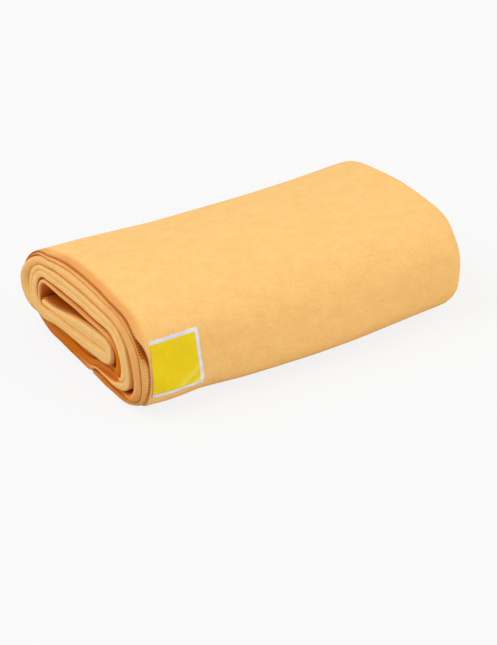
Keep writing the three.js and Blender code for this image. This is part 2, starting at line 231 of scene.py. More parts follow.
# Inner and outer heights of one run at the places y
def runLevels(name, y):
    level = lambda line: curveThrough(roll["levelY"], roll[line], y)
    if name == "tuck":
        return level("coreInner") + roll["gap"], level("tuckOuter")
    if name == "core":
        return level("coreInner"), level("coreOuter")
    if name == "middle":
        return level("middleInner"), level("topInner") - roll["gap"]
    if name == "lower":
        return level("coreOuter") - roll["gap"], lift(y)
    return level("topInner"), level("topOuter")


# A run as rows of inner y, inner z, outer y, outer z and place, with the place growing by 1
def runRows(name, start, end, place):
    y = np.linspace(start, end, roll["runSteps"])
    inner, outer = runLevels(name, y)
    return np.stack([y, inner, y, outer, place + np.linspace(0, 1, len(y))], axis=1)


# Half a superellipse between two runs, for the inner face and then the outer one, with a from -90
# to 90 degrees times side: y = centre + side reach cos(a)^(2/n), z = middle + half span sin(a)^(2/n)
def turnRows(name, centre, side, below, above, place):
    angle = np.linspace(-np.pi / 2, np.pi / 2, roll["turnSteps"])[1:-1] * side
    exponent = np.where(angle < 0, *roll[name + "Turn"])
    across = np.abs(np.cos(angle)) ** (2 / exponent)
    rise = np.sign(angle) * np.abs(np.sin(angle)) ** (2 / exponent)
    columns = []
    for reach, low, high in zip(roll[name + "Reach"], below, above):
        columns.append(centre + side * reach * across)
        columns.append((low + high) / 2 + rise * (high - low) / 2)
    columns.append(place + np.linspace(0, 1, len(angle)))
    return np.stack(columns, axis=1)


# The free end on the floor, from the last turn to its tip
def endRows(start, place):
    share = np.linspace(0, 1, roll["endSteps"])
    inner = start + (roll["tipY"] - roll["tipStagger"] - start) * share
    outer = start + (roll["tipY"] - start) * share
    top = np.full_like(share, roll["freeEndTop"])
    return np.stack([inner, top, outer, np.zeros_like(share), place + share], axis=1)


# Running mean of the columns with the weights exp(-(i / width)^2 / 2), the ends continued straight on
def smoothed(columns, width):
    reach = int(3 * width)
    window = np.exp(-0.5 * (np.arange(-reach, reach + 1) / width) ** 2)
    window /= window.sum()
    padded = np.pad(columns, ((reach, reach), (0, 0)), mode="reflect", reflect_type="odd")
    return np.stack([np.convolve(column, window, "valid") for column in padded.T], axis=1)


# Columns read off at new distances along the strip
def resampled(columns, distances, wanted):
    return np.stack([np.interp(wanted, distances, column) for column in columns.T], axis=1)


# The whole roll, from the tucked start to the free end, spaced closer where it turns
def rollStations():
    front, back, nose = roll["frontY"], roll["backY"], roll["noseY"]
    at = lambda name, y: [float(level[0]) for level in runLevels(name, np.array([y]))]
    tuck = runRows("tuck", roll["tuckY"], nose, 0)
    slant = ((tuck[:, 0] - nose) / (roll["tuckY"] - nose)) ** roll["slantPower"]
    tuck[:, 2] += roll["tuckSlant"] * slant
    rows = np.concatenate([
        tuck,
        turnRows("nose", nose, -1, at("core", nose), at("tuck", nose), 1),
        runRows("core", nose, back, 2),
        turnRows("hollow", back, 1, at("core", back), at("middle", back), 3),
        runRows("middle", back, front, 4),
        turnRows("innerFront", front, -1, at("lower", front), at("middle", front), 5),
        runRows("lower", front, back, 6),
        turnRows("outerBack", back, 1, at("lower", back), at("top", back), 7),
        runRows("top", back, front, 8),
        turnRows("outerFront", front, -1, (roll["freeEndTop"], 0), at("top", front), 9),
        endRows(front, 10),
    ])
    distance = stripDistance(rows)
    even = np.arange(0, distance[-1], roll["evenStep"])
    rows = smoothed(resampled(rows, distance, even), roll["smoothing"] / roll["evenStep"])
    distance = stripDistance(rows)
    middle = (rows[:, 0:2] + rows[:, 2:4]) / 2
    heading = np.unwrap(np.arctan2(np.gradient(middle[:, 1]), np.gradient(middle[:, 0])))
    bending = np.minimum(np.abs(np.gradient(heading, distance)), roll["sharpBend"])
    density = np.cumsum((1 + roll["bendDensity"] * bending) * np.gradient(distance))
    wanted = np.interp(np.linspace(density[0], density[-1], roll["stations"]), density, distance)
    return resampled(rows, distance, wanted), wanted


stationRows, stationDistance = rollStations()
stripDepth = np.linalg.norm(stationRows[:, 2:4] - stationRows[:, 0:2], axis=1)


# Two sines of the distance along the strip: size times the sum of weight sin(distance / length + phase)
def stripWaves(waves, name):
    parts = zip(waveWeights, waves["lengths"], waves["phases"][name])
    sines = [weight * np.sin(stationDistance / length + phase) for weight, length, phase in parts]
    return waves["size"] * sum(sines)


# The table's columns at every station, with their waves
def pliesAlongStrip():
    columns = dict(zip(plyColumns, np.array(plyRows).T))
    at = {name: curveThrough(columns["place"], columns[name], stationRows[:, 4]) for name in columns}
    for name in endColumns:
        at[name] = at[name] + leftX
    for name in percentColumns:
        at[name] = at[name] / 100
    for name in endWaves["phases"]:
        at[name] = at[name] + stripWaves(endWaves, name)
    lowest, highest = shareWaves["within"]
    for name in shareWaves["phases"]:
        at[name] = at[name] + stripWaves(shareWaves, name) * (at[name] > lowest) * (at[name] < highest)
    return at


plyAt = pliesAlongStrip()
print("strip length", round(float(stationDistance[-1])), "mm")


# Point of the roll for a station (row of the table), x along the roll and h millimetres from the
# strip's inner face: inner + (outer - inner) h / depth
def inRoll(rows, depth, x, h):
    share = h / depth
    y = rows[..., 0] + (rows[..., 2] - rows[..., 0]) * share
    z = rows[..., 1] + (rows[..., 3] - rows[..., 1]) * share
    return np.stack([x, y, z], axis=-1)


# Slow unevenness of the roll: how far its front swells, and its back and whole top sink, at places
# along it. A pair says where a change starts and where it is full.
unevenness = {
    "x": [-118, -105, -95, -85, -72, -60, -49, -38, -15, 0, 30, 60, 74, 88, 100, 110, 120],
    "front": [0.8, 2.0, 3.0, 2.7, 1.8, 3.0, 4.4, 5.1, 6.0, 6.3, 5.5, 3.0, 1.8, 0.7, -0.1, -1.0, -1.8],
    "backSag": [0, 0.2, 0.6, 1.0, 1.9, 2.8, 3.6, 4.5, 5.1, 5.3, 5.4, 4.8, 4.0, 3.0, 2.0, 2.2, 3.0],
    "topSag": [0, 0, 0, 0, 0, 0, 0, 0, 0.1, 0.2, 0.5, 0.6, 0.8, 1.0, 1.2, 1.5, 2.0],
    "frontFrom": (22, 58),  # forward of the middle
    "swellBelow": (14, 48),  # the swell fades out between these heights
    "backFrom": (-5, 50),
    "fullHeight": 57,  # height that sinks by the whole sag
    "mostShare": 1.1,
    "sinkPower": 1.5,
    "endY": [-65, -56, -45, -25, 0, 22, 45, 70],
    "endShift": [-2.8, -2.3, -0.2, 0.5, -1.0, -2.2, 0.4, 0.8],
    "endFrom": (40, 110),
    "labelDent": 2.5,  # the front gives way behind the label, at this height and over this width
    "dentHeight": 33,
    "dentWidth": 11,
    "dentBefore": (-75, -30),
    "toeLift": 2.8,  # how far the folds at the right end curl up from the floor
    "toeFrom": (100, 113),
    "toeBelow": (0, 26),
}


# Front moved by the swell less the dent, height lowered by the sags times (z / full height)^power, and
# the right end shifted and lifted, more towards its edge. Nothing goes below the floor.
def settle(points):
    x, y, z = points[..., 0], points[..., 1], points[..., 2]
    at = lambda name: curveThrough(unevenness["x"], unevenness[name], x)
    dent = np.exp(-((z - unevenness["dentHeight"]) / unevenness["dentWidth"]) ** 2)
    dent = unevenness["labelDent"] * dent * (1 - ease(x, *unevenness["dentBefore"]))
    swell = at("front") * (1 - ease(z, *unevenness["swellBelow"])) - dent
    swell = swell * ease(-y, *unevenness["frontFrom"])
    height = np.clip(z / unevenness["fullHeight"], 0, unevenness["mostShare"]) ** unevenness["sinkPower"]
    sink = (at("backSag") * ease(y, *unevenness["backFrom"]) + at("topSag")) * height
    shift = curveThrough(unevenness["endY"], unevenness["endShift"], y) * ease(x, *unevenness["endFrom"])
    toe = unevenness["toeLift"] * ease(x, *unevenness["toeFrom"]) * (1 - ease(z, *unevenness["toeBelow"]))
    return np.stack([x + shift, y - swell, np.maximum(z - sink + toe, 0)], axis=-1)


# A mesh from points in millimetres and faces, with optional values at its points
def makePiece(name, points, faces, material, values, uv=None):
    mesh = bpy.data.meshes.new(name)
    mesh.from_pydata((points.reshape(-1, 3) * millimetre).tolist(), [], faces.tolist())
    mesh.polygons.foreach_set("use_smooth", np.ones(len(faces), bool))
    for attributeName, data in values.items():
        attribute = mesh.attributes.new(attributeName, "FLOAT", "POINT")
        attribute.data.foreach_set("value", data.ravel().astype(np.float32))
    if uv is not None:
        corners = np.empty(len(mesh.loops), np.int32)
        mesh.loops.foreach_get("vertex_index", corners)
        layer = mesh.uv_layers.new(name="surface")
        layer.data.foreach_set("uv", uv.reshape(-1, 2)[corners].astype(np.float32).ravel())
    mesh.materials.append(material)
    mesh.update()
    piece = bpy.data.objects.new(name, mesh)
    bpy.context.collection.objects.link(piece)
    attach(piece, "root")
    return piece


# Faces between neighbouring closed rings of a grid, each ring's last point joined to its first
def gridFaces(rings, count):
    ring = np.arange(rings - 1)[:, None] * count
    here = np.arange(count)[None, :]
    beside = (here + 1) % count
    corners = [ring + here, ring + count + here, ring + count + beside, ring + beside]
    return np.stack(corners, axis=-1).reshape(-1, 4)


# Faces of a flat tube of rings, closed at both ends: point i is joined to point count - 1 - i
def flatTubeFaces(rings, count):
    i = np.arange(count // 2 - 1)
    cap = np.stack([i, i + 1, count - 2 - i, count - 1 - i], axis=-1)
    return np.concatenate([gridFaces(rings, count), cap, cap[:, ::-1] + (rings - 1) * count])


# Node tree of a material or the world
class Nodes:
    def __init__(self, owner):
        owner.use_nodes = True
        self.tree = owner.node_tree

    # A node with its settings and the plain values of its sockets
    def add(self, kind, **inputs):
        node = self.tree.nodes.new(kind)
        for key, value in inputs.items():
            if key in ("operation", "data_type", "bands_direction", "attribute_name"):
                setattr(node, key, value)
            else:
                node.inputs[key.replace("_", " ")].default_value = value
        return node

    def link(self, source, target):
        self.tree.links.new(source, target)

    # Sockets fed by other sockets or by plain values
    def feed(self, sockets, sources):
        for socket, source in zip(sockets, sources):
            if isinstance(source, bpy.types.NodeSocket):
                self.link(source, socket)
            else:
                socket.default_value = source

    def coordinates(self, kind):
        return self.add("ShaderNodeTexCoord").outputs[kind]

    # Noise on stretched and turned object coordinates: size is the grain in millimetres
    def noise(self, size, detail, roughness=0.55, stretch=(1, 1, 1), turn=(0, 0, 0)):
        mapping = self.add("ShaderNodeMapping", Scale=stretch, Rotation=turn)
        self.link(self.coordinates("Object"), mapping.inputs["Vector"])
        noise = self.add("ShaderNodeTexNoise", Scale=1 / (size * millimetre), Detail=detail,
                         Roughness=roughness)
        self.link(mapping.outputs["Vector"], noise.inputs["Vector"])
        return noise.outputs["Fac"]

    # Waves on the piece's own map
    def wave(self, **inputs):
        wave = self.add("ShaderNodeTexWave", **inputs)
        self.link(self.coordinates("UV"), wave.inputs["Vector"])
        return wave.outputs["Fac"]

    # Colours along a ramp, read at a value
    def ramp(self, value, places, colours):
        ramp = self.add("ShaderNodeValToRGB")
        elements = ramp.color_ramp.elements
        while len(elements) < len(places):
            elements.new(0.5)
        for element, place, shade in zip(elements, places, colours):
            element.position = place
            element.color = shade
        self.link(value, ramp.inputs["Fac"])
        return ramp.outputs["Color"]

    # Two colours mixed by a value
    def mix(self, value, first, second):
        mix = self.add("ShaderNodeMix", data_type="RGBA")
        self.feed((mix.inputs[0], mix.inputs[6], mix.inputs[7]), (value, first, second))
        return mix.outputs[2]

    def maths(self, operation, *values):
        node = self.add("ShaderNodeMath", operation=operation)
        self.feed(node.inputs, values)
        return node.outputs[0]

    # Part of a value that lies between start and start + 1, as a share
    def share(self, value, start):
        part = self.maths("SUBTRACT", value, start)
        part.node.use_clamp = True
        return part

    # Painted shade: the burnt orange takes over from 0 to 1, and the hollow's darker shade from 1 to 2
    def withPaintedShade(self, base, look):
        paintedShading = self.add("ShaderNodeAttribute", attribute_name="paintedShading").outputs["Fac"]
        base = self.mix(self.share(paintedShading, 0), base, look["paintedShading"])
        return self.mix(self.share(paintedShading, 1), base, look["hollow"])

    # Bump from a height, in metres, on top of an earlier one
    def bump(self, height, distance, strength, below=None):
        node = self.add("ShaderNodeBump", Strength=strength, Distance=distance)
        self.link(height, node.inputs["Height"])
        if below is not None:
            self.link(below, node.inputs["Normal"])
        return node.outputs["Normal"]

    # The piece's shader: colour and normal from nodes, the other sockets from plain values
    def shade(self, base, normal, values):
        shader = self.tree.nodes["Principled BSDF"]
        self.feed((shader.inputs["Base Color"], shader.inputs["Normal"]), (base, normal))
        for key, value in values.items():
            shader.inputs[key].default_value = value


# Linear colour from an sRGB one out of 255: c / 12.92 or ((c + 0.055) / 1.055)^2.4
def colour(red, green, blue):
    share = np.array([red, green, blue]) / 255
    linear = np.where(share < 0.04045, share / 12.92, ((share + 0.055) / 1.055) ** 2.4)
    return (*[float(v) for v in linear], 1.0)


# Painted shade: burnt orange in the creases between plies, darker orange-brown in the hollow
paintedShadeColours = {"paintedShading": colour(222, 118, 14), "hollow": colour(188, 92, 5)}

napLook = {
    **paintedShadeColours,
    "colours": (colour(246, 189, 111), colour(252, 200, 124), colour(255, 209, 136)),
    "tones": (0.33, 0.5, 0.67),
    "sockets": {"Roughness": 0.95, "Specular IOR Level": 0.05, "Sheen Weight": 0.05,
                "Sheen Roughness": 0.5, "Sheen Tint": colour(255, 226, 180)},
}

# The pile's noises, coarse to fine: each one's own values (size in mm), its weight in the colour, and
# the depth (metres) and strength of its bump
napLayers = [
    ({"size": 9, "detail": 3}, 0.3, (0.003, 0.2)),
    ({"size": 4.5, "detail": 3, "stretch": (0.4, 1, 1), "turn": (0, 0, 0.35)}, 0.15, (0.0015, 0.35)),
    ({"size": 1.5, "detail": 4, "roughness": 0.7}, 0.55, (0.0007, 0.3)),
    ({"size": 0.5, "detail": 2}, 0, (0.0003, 0.4)),
]


# Brushed pile: mottled in clumps and grained by its fibres, with painted shade in burnt orange where it
# faces other plies
def napMaterial(look):
    material = bpy.data.materials.new("brushedPile")
    nodes = Nodes(material)
    tone, normal = 0, None
    for shape, weight, bump in napLayers:
        layer = nodes.noise(**shape)
        tone = nodes.maths("ADD", nodes.maths("MULTIPLY", layer, weight), tone)
        normal = nodes.bump(layer, *bump, normal)
    pile = nodes.withPaintedShade(nodes.ramp(tone, look["tones"], look["colours"]), look)
    nodes.shade(pile, normal, look["sockets"])
    return material


napCloth = napMaterial(napLook)


# Cloth: a line across the strip, thickened to both faces, carried along the stations
cloth = {
    "bendX": 102.6,  # where the folds at the right end start
    "wideFold": {"reach": 7.8, "power": 1, "points": 8},
    "narrowFold": {"reach": 1.8, "power": 1, "points": 6},
    "closedFold": {"reach": 2.2, "power": 0.6, "points": 11},  # at the left end, and blunt
    "plyPoints": {"first": 62, "second": 20, "third": 20, "fourth": 22},
    "plyGap": 0.02,
    "cutInset": 1.2,  # a cut ply's middle line stops this far inside its left end
    # Painted crease shade: where it starts, where it stays off, how deep it grows and where it fades
    "creaseInset": 0.2,  # the creases start this far inside
    "thirdInset": 0.6,
    "thirdCover": 1.6,  # the third ply is in the open light up to this far left of the inner ply
    "openPlaces": (6.9, 7.3),  # from here on the outer ply's outer face is in the open light
    "farInside": 1000,
    "creaseDepth": 1.6,  # from the open light to full colour between two plies
    "foldLight": 6,  # creases fade out over this much before the folds at the right end
    "splayWidth": 6.5,  # how far left of the outer ply's edge the inner plies splay
    "splayInset": 0.5,
    "splayBase": 0.4,
    # Painted shade on the ends of the plies
    "shadeWidth": (1.8, 6.5),  # the ends' own shade fades out between these depths
    "endSteps": 4,  # extra stations that round each end of the strip
    "endReach": 1.4,
    "endKeep": 0.12,  # share of the thickness left at the last one
    "rimReach": 1.0,  # how far a cut end bulges at most
    "rimShare": 0.8,  # and as a share of half its thickness
    "rimPower": 0.5,
    "rimSteps": 11,
    # Painted crease shade on the corners of the rims
    "cornerCrease": 0.7,  # share of a crease's colour on the corners of a cut end
    "cornerPower": 6,
    "spreadShare": 0.85,  # how much closer the points lie near a ply's left end
    "spreadPower": 2.4,
}


# Stations with a few more beyond each end, and the share of the cloth's thickness they keep, so that
# the ends are round: reach sin(a) outward, cos(a) of the thickness
def endedStations(rows, table):
    steps = cloth["endSteps"]
    angle = np.linspace(0, np.pi / 2, steps + 1)[1:]
    reach = cloth["endReach"] * np.sin(angle)[:, None]
    keep = np.cos(angle)
    keep[-1] = cloth["endKeep"]

    # Step that moves the inner and the outer point by one millimetre, taken together
    def outward(end, inside):
        return (end - inside) / np.linalg.norm((end - inside)[0:4]) * math.sqrt(2)

    start = rows[0] + outward(rows[0], rows[1]) * reach[::-1]
    end = rows[-1] + outward(rows[-1], rows[-2]) * reach
    share = np.concatenate([keep[::-1], np.ones(len(rows)), keep])
    widened = {name: np.pad(column, steps, mode="edge") for name, column in table.items()}
    return np.concatenate([start, rows, end]), widened, share


clothRows, clothTable, endShare = endedStations(stationRows, plyAt)
clothDepth = np.linalg.norm(clothRows[:, 2:4] - clothRows[:, 0:2], axis=1)


# Middle and thickness of each ply at every station, in millimetres from the strip's inner face
def plyBands():
    shares = {
        "second": (0, clothTable["foldTop"] / 2),
        "third": (clothTable["foldTop"] / 2, clothTable["foldTop"]),
        "fourth": (clothTable["innerLow"], clothTable["innerTop"]),
        "first": (clothTable["outerLow"], clothTable["outerTop"]),
    }
    return {
        name: ((low + high) / 2 * clothDepth, (high - low) * clothDepth - cloth["plyGap"])
        for name, (low, high) in shares.items()
    }


bands = plyBands()


# Shares along a ply from its left end, close together there: (1 - c) t + c t^power
def spread(count):
    t = np.linspace(0, 1, count)
    return t * (1 - cloth["spreadShare"]) + cloth["spreadShare"] * t ** cloth["spreadPower"]


# Middle line across the strip: out along the first ply, round the wide fold, back along the second,
# round the closed fold, out along the third, round the narrow fold and back along the fourth. Its
# columns are x, h, thickness, where the painted crease shade starts on its left face and on its right
# one, how strong each is, and the painted shade of the end.
def crossLine():
    depth = clothDepth[:, None]
    at = {name: clothTable[name][:, None] for name in clothTable}
    openLight = cloth["farInside"] * ease(clothRows[:, 4:5], *cloth["openPlaces"])
    outerStart = at["outerX"] + cloth["creaseInset"] + openLight
    overFold = np.maximum(at["foldX"] + cloth["thirdInset"], at["innerX"] - cloth["thirdCover"])
    marks = {
        "first": (outerStart, at["outerX"], at["outerLine"], at["plyLine"], at["outerShade"]),
        "second": (at["foldX"] + cloth["creaseInset"], at["foldX"], at["innerLine"], 1, at["foldShade"]),
        "third": (overFold, at["foldX"], at["foldLine"], 1, at["foldShade"]),
        "fourth": (at["innerX"], at["coverX"], at["foldLine"], at["plyLine"], at["innerShade"]),
    }
    columns = []
    columnsOf = lambda name: [band[:, None] for band in bands[name]]

    # Splay: h grows by splay (base + h / depth) times the ease from the outer ply's edge leftward
    def addBlock(name, x, h, thickness, left):
        reach = 1 - ease(x, at["outerX"] - cloth["splayWidth"], at["outerX"] - cloth["splayInset"])
        if name != "first":
            h = h + at["splay"] * reach * (cloth["splayBase"] + h / depth)
        # The marks carry painted shade: the crease shade on both faces, and the end's shade, which fades
        # out inward
        lines = [mark * np.ones_like(x) for mark in marks[name]]
        lines[4] = lines[4] * (1 - ease(x - left, *cloth["shadeWidth"]))
        columns.append(np.stack([x, h, thickness * np.ones_like(x), *lines], axis=-1))

    # The straight part of a ply, between its left end and the folds at the right
    def ply(name, left, order):
        share = spread(cloth["plyPoints"][name])[None, ::order]
        x = left + (cloth["bendX"] - left) * share
        middle, thickness = columnsOf(name)
        addBlock(name, x, middle * np.ones_like(x), thickness, left)

    # Half an ellipse: x = middle + reach sin(a)^power, h from one ply to the other by cos(a). Only the
    # closed fold, at the left, takes the end's painted shade.
    def fold(start, end, middle, side, shape):
        angle = np.linspace(0, np.pi, shape["points"] + 2)[1:-1][None, :]
        (low, lowThick), (high, highThick) = (columnsOf(name) for name in (start, end))
        x = middle + side * shape["reach"] * np.sin(angle) ** shape["power"]
        share = (1 - np.cos(angle)) / 2
        h = low * (1 - share) + high * share
        thickness = lowThick * (1 - share) + highThick * share
        addBlock(start, x, h, thickness, middle if side < 0 else 0)

    bend = np.full_like(depth, cloth["bendX"])
    closed = at["foldX"] + cloth["closedFold"]["reach"] + bands["second"][1][:, None] / 2
    ply("first", at["outerX"] + cloth["cutInset"], 1)
    fold("first", "second", bend, 1, cloth["wideFold"])
    ply("second", closed, -1)
    fold("second", "third", closed, -1, cloth["closedFold"])
    ply("third", closed, 1)
    fold("third", "fourth", bend, 1, cloth["narrowFold"])
    ply("fourth", at["innerX"] + cloth["cutInset"], -1)
    return np.concatenate(columns, axis=1)


crossLines = crossLine()


# Both faces of the cross line, half the thickness to each side, and blunt rims at its two cut ends:
# outward bulge cos(a)^power, sideways half the thickness times sin(a). The third value is the painted
# shade: 0 in the open light, 1 between two plies and up to 2 in a hollow.
def clothRings():
    line = crossLines
    tangent = unit(np.gradient(line[..., 0:2], axis=1))
    normal = np.stack([-tangent[..., 1], tangent[..., 0]], axis=-1)
    half = line[..., 2:3] / 2 * endShare[:, None, None]
    angle = np.linspace(np.pi / 2, -np.pi / 2, cloth["rimSteps"])[1:-1]
    outwards = (np.cos(angle) ** cloth["rimPower"])[None, :, None]
    sideways = np.sin(angle)[None, :, None]

    # One face of the cloth, its painted shade growing inward from its start and fading before the folds
    def face(side, start, strength):
        x = line[..., 0]
        paintedShading = ease(x - line[..., start], 0, cloth["creaseDepth"]) * line[..., strength]
        paintedShading = paintedShading * (1 - ease(x, cloth["bendX"] - cloth["foldLight"], cloth["bendX"]))
        paintedShading = np.maximum(paintedShading, line[..., 7])
        return np.concatenate([line[..., 0:2] + side * normal * half, paintedShading[..., None]], axis=-1)

    # The rim over one end of the line, with painted shade on its corners
    def rim(end, outward, order):
        only = slice(end, end + 1 or None)
        bulge = np.minimum(cloth["rimShare"] * half[:, only], cloth["rimReach"])
        points = line[:, only, 0:2] + bulge * tangent[:, only] * outward * outwards[:, ::order]
        points = points + half[:, only] * normal[:, only] * sideways[:, ::order]
        shade, left, right = (line[:, only, i:i + 1] for i in (7, 5, 6))
        corner = np.abs(sideways) ** cloth["cornerPower"] * cloth["cornerCrease"]
        corner = np.where(sideways > 0, left, right) * corner
        return np.concatenate([points, np.maximum(shade, corner[:, ::order])], axis=-1)

    return np.concatenate([face(1, 3, 5), rim(-1, 1, 1), face(-1, 4, 6)[:, ::-1], rim(0, -1, -1)], axis=1)


ring = clothRings()
clothPoints = inRoll(clothRows[:, None, :], clothDepth[:, None], ring[..., 0], ring[..., 1])
clothFaces = flatTubeFaces(ring.shape[0], ring.shape[1])
towelCloth = makePiece("towelCloth", settle(clothPoints), clothFaces, napCloth,
                       {"paintedShading": ring[..., 2]})
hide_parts("towel_cloth")
print("cloth made,", len(clothFaces), "faces")


# Overlock stitches: a thread wound round a cut edge
stitches = {
    "width": 3.0,  # how far they reach in from the edge
    "inset": 0.2,  # the edge they go round lies this far inside the ply's left end
    "pitch": 1.7,
    "thread": 0.17,  # radius
    "proud": -0.06,
    "sunk": 0.35,  # deeper where another ply covers them
    "steps": 8,
    "squareness": 0.6,  # below 1 for loops with squarer corners
    # Where another ply covers the loops they sink, and take its painted crease shade, on their corners too
    "facing": (-0.1, 0.5),  # sines of the angles where a loop turns to the covered side
    "deepLine": (1, 1.4),  # strengths between which a crease reaches the loops' corners too
    "endInset": 1.2,  # the seams across the strip's ends lie this much further out
    "endStations": 6,  # stations that give an end's direction
    "aside": (0.31, 0.87, 0.38),  # a direction that no thread runs along
}

threadLook = {
    **paintedShadeColours,
    "colours": (colour(238, 180, 106), colour(250, 200, 128)),
    "tones": (0.1, 0.5),
    "strands": 3.0,
    "distortion": 0.6,
    "patches": {"size": 2.5, "detail": 2},  # mm
    "sockets": {"Roughness": 0.8, "Specular IOR Level": 0.1},
    "bump": (0.0002, 0.6),  # depth in metres, and strength
}


# Twisted thread: strands across its length, from the piece's own map, with the cloth's painted shade
def threadMaterial(look):
    material = bpy.data.materials.new("overlockThread")
    nodes = Nodes(material)
    wave = nodes.wave(Scale=look["strands"], Distortion=look["distortion"])
    both = nodes.maths("MULTIPLY", wave, nodes.noise(**look["patches"]))
    thread = nodes.withPaintedShade(nodes.ramp(both, look["tones"], look["colours"]), look)
    nodes.shade(thread, nodes.bump(wave, *look["bump"]), look["sockets"])
    return material


seamThread = threadMaterial(threadLook)


# Square tube about a line of points, closed at both ends by one face each, with painted shade at its
# points
def threadTube(name, line, paintedShading):
    sides = 4
    tangent = unit(np.gradient(line, axis=0))
    side = unit(np.cross(tangent, np.array(stitches["aside"])))
    over = np.cross(side, tangent)
    angle = np.linspace(0, 2 * np.pi, sides, endpoint=False)
    ringPoints = line[:, None] + stitches["thread"] * (
        side[:, None] * np.cos(angle)[None, :, None] + over[:, None] * np.sin(angle)[None, :, None]
    )
    first = np.arange(sides)[None, :]
    last = first[:, ::-1] + (len(line) - 1) * sides
    faces = np.concatenate([gridFaces(len(line), sides), first, last])
    around = np.broadcast_to(angle / (2 * np.pi), (len(line), sides))
    uv = np.stack([np.broadcast_to(lengthAlong(line)[:, None], around.shape), around], axis=-1)
    return makePiece(name, settle(ringPoints), faces, seamThread, {"paintedShading": np.repeat(paintedShading, sides)}, uv)


# Loops round an edge: edge + inward (w/2 - (w/2 + proud) cos a) + normal (half + proud) sin a, with
# squared corners, in the painted shade given for the edge. On the side that faces another ply they sink,
# and take on its painted crease shade, from start inwards.
def overlock(name, edge, inward, normal, half, distance, paintedShading, covered=None):
    count = int(distance[-1] / stitches["pitch"])
    at = np.linspace(0, distance[-1], count * stitches["steps"] + 1)
    edge, inward, normal = (resampled(columns, distance, at) for columns in (edge, inward, normal))
    half = np.interp(at, distance, half)[:, None]
    angle = (at / distance[-1] * count * 2 * np.pi)[:, None]
    squared = lambda wave: np.sign(wave) * np.abs(wave) ** stitches["squareness"]
    width = stitches["width"] / 2
    across = width - (width + stitches["proud"]) * squared(np.cos(angle))
    over = (half + stitches["proud"]) * squared(np.sin(angle))
    shade = np.interp(at, distance, paintedShading)
    if covered:
        side, start, strength = covered
        facing = ease(side * np.sin(angle), *stitches["facing"])
        over = over - side * stitches["sunk"] * facing
        reach = (edge + inward * across)[:, 0] - np.interp(at, distance, start)
        strength = np.interp(at, distance, strength)
        corner = np.sin(angle[:, 0]) ** 2 * ease(strength, *stitches["deepLine"])
        deep = np.maximum(ease(reach, 0, cloth["creaseDepth"]), cloth["cornerCrease"] * corner)
        shade = np.maximum(shade, deep * facing[:, 0] * strength)
    return threadTube(name, edge + inward * across + normal * over, shade)


# A seam along one cut side of the strip, at the left end of a ply, with that end's painted shade. Side
# is the face that another ply covers, from cover inwards, where its loops take the painted crease shade.
def sideSeam(name, ply, left, shade, side, cover):
    middle, thickness = bands[ply]
    edge = inRoll(clothRows, clothDepth, clothTable[left] + stitches["inset"], middle)
    inward = np.tile([1.0, 0.0, 0.0], (len(edge), 1))
    normal = np.cross(unit(np.gradient(edge, axis=0)), inward)
    distance = lengthAlong(edge)
    if ply != "first":
        splay = clothTable["splay"] * (cloth["splayBase"] + middle / clothDepth)
        edge = edge + normal * splay[:, None]
    covered = (side, clothTable[cover], clothTable["plyLine"])
    half = thickness / 2 * endShare
    return overlock(name, edge, inward, normal, half, distance, clothTable[shade], covered)


# A seam across an end of the strip, along the cloth's middle line there, with the end's painted shade
def endSeam(name, station, neighbour):
    line = crossLines[station]
    both = [station, neighbour]
    x, h = (np.tile(line[:, i], (2, 1)) for i in (0, 1))
    edge, inside = inRoll(clothRows[both][:, None], clothDepth[both][:, None], x, h)
    inward = unit(inside - edge)
    normal = np.cross(unit(np.gradient(edge, axis=0)), inward)
    distance = lengthAlong(edge)
    edge = edge - inward * stitches["endInset"]
    return overlock(name, edge, inward, normal, line[:, 2] / 2, distance, line[:, 7])


outerSeam = sideSeam("outerSideSeam", "first", "outerX", "outerShade", -1, "outerX")
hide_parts("seam_outer_side")
innerSeam = sideSeam("innerSideSeam", "fourth", "innerX", "innerShade", 1, "coverX")
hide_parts("seam_inner_side")
firstStation = cloth["endSteps"]
lastStation = len(clothRows) - 1 - cloth["endSteps"]
startSeam = endSeam("startEndSeam", firstStation, firstStation + stitches["endStations"])
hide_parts("seam_start_end")
freeSeam = endSeam("freeEndSeam", lastStation, lastStation - stitches["endStations"])
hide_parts("seam_free_end")
print("seams made")


# Label: a woven ribbon at the front, its left edge in the outer seam, and its coloured field
label = {
    "width": 31.0,
    "height": 33.0,
    "leftX": -105.4,  # its left edge at the top
    "lean": -2.2,  # how far its lower left corner lies beside the upper one
    "bottom": 12.6,  # height of its lower edge above the floor
    "border": 2.3,
    # Each crease: a ridge with a painted highlight along it
    "creases": [(0.72, 0.55, 1.0), (0.36, 0.6, 0.35)],  # foot on the lower edge, slope and strength
    "creaseWidth": 0.06,
    "creaseStart": 0.1,
    "creaseHeight": 0.4,  # mm
    "edgeLift": 0.45,  # mm, how far its right edge stands off the pile
    "liftFrom": (0.75, 1),
    "ripple": 0.12,
    "rippleTurns": (7, 5),  # radians across and up
    "thickness": 0.4,
    "fieldThickness": 0.25,
    "fieldSunk": 0.02,  # into the ribbon
    "above": 0.25,  # clear of the pile
    "undersideShare": 0.9,  # of the crumple, on the back
    "columns": 44,
    "rows": 50,
    "firstPlace": 8.6,  # on the outermost ply, from here on and forward of frontY
    "frontY": -30,
}

labelLook = {
    "ribbon": colour(244, 242, 254),
    "ribbonShade": colour(220, 216, 236),
    # Painted highlight along the creases of the ribbon
    "ribbonPaintedHighlight": colour(252, 252, 255),
    "field": colour(250, 222, 0),
    "fieldShade": colour(240, 206, 0),
    # Painted highlight along the creases of the field
    "fieldPaintedHighlight": colour(255, 246, 120),
    "weave": 0.9,  # mm over about three threads
    "threadTone": 0.4,
    "patchTone": 0.6,
    "patches": {"size": 9, "detail": 2},
    "tones": (0.25, 0.5),
    "sockets": {"Roughness": 0.6, "Specular IOR Level": 0.25},
    "bump": (0.00015, 0.5),
}
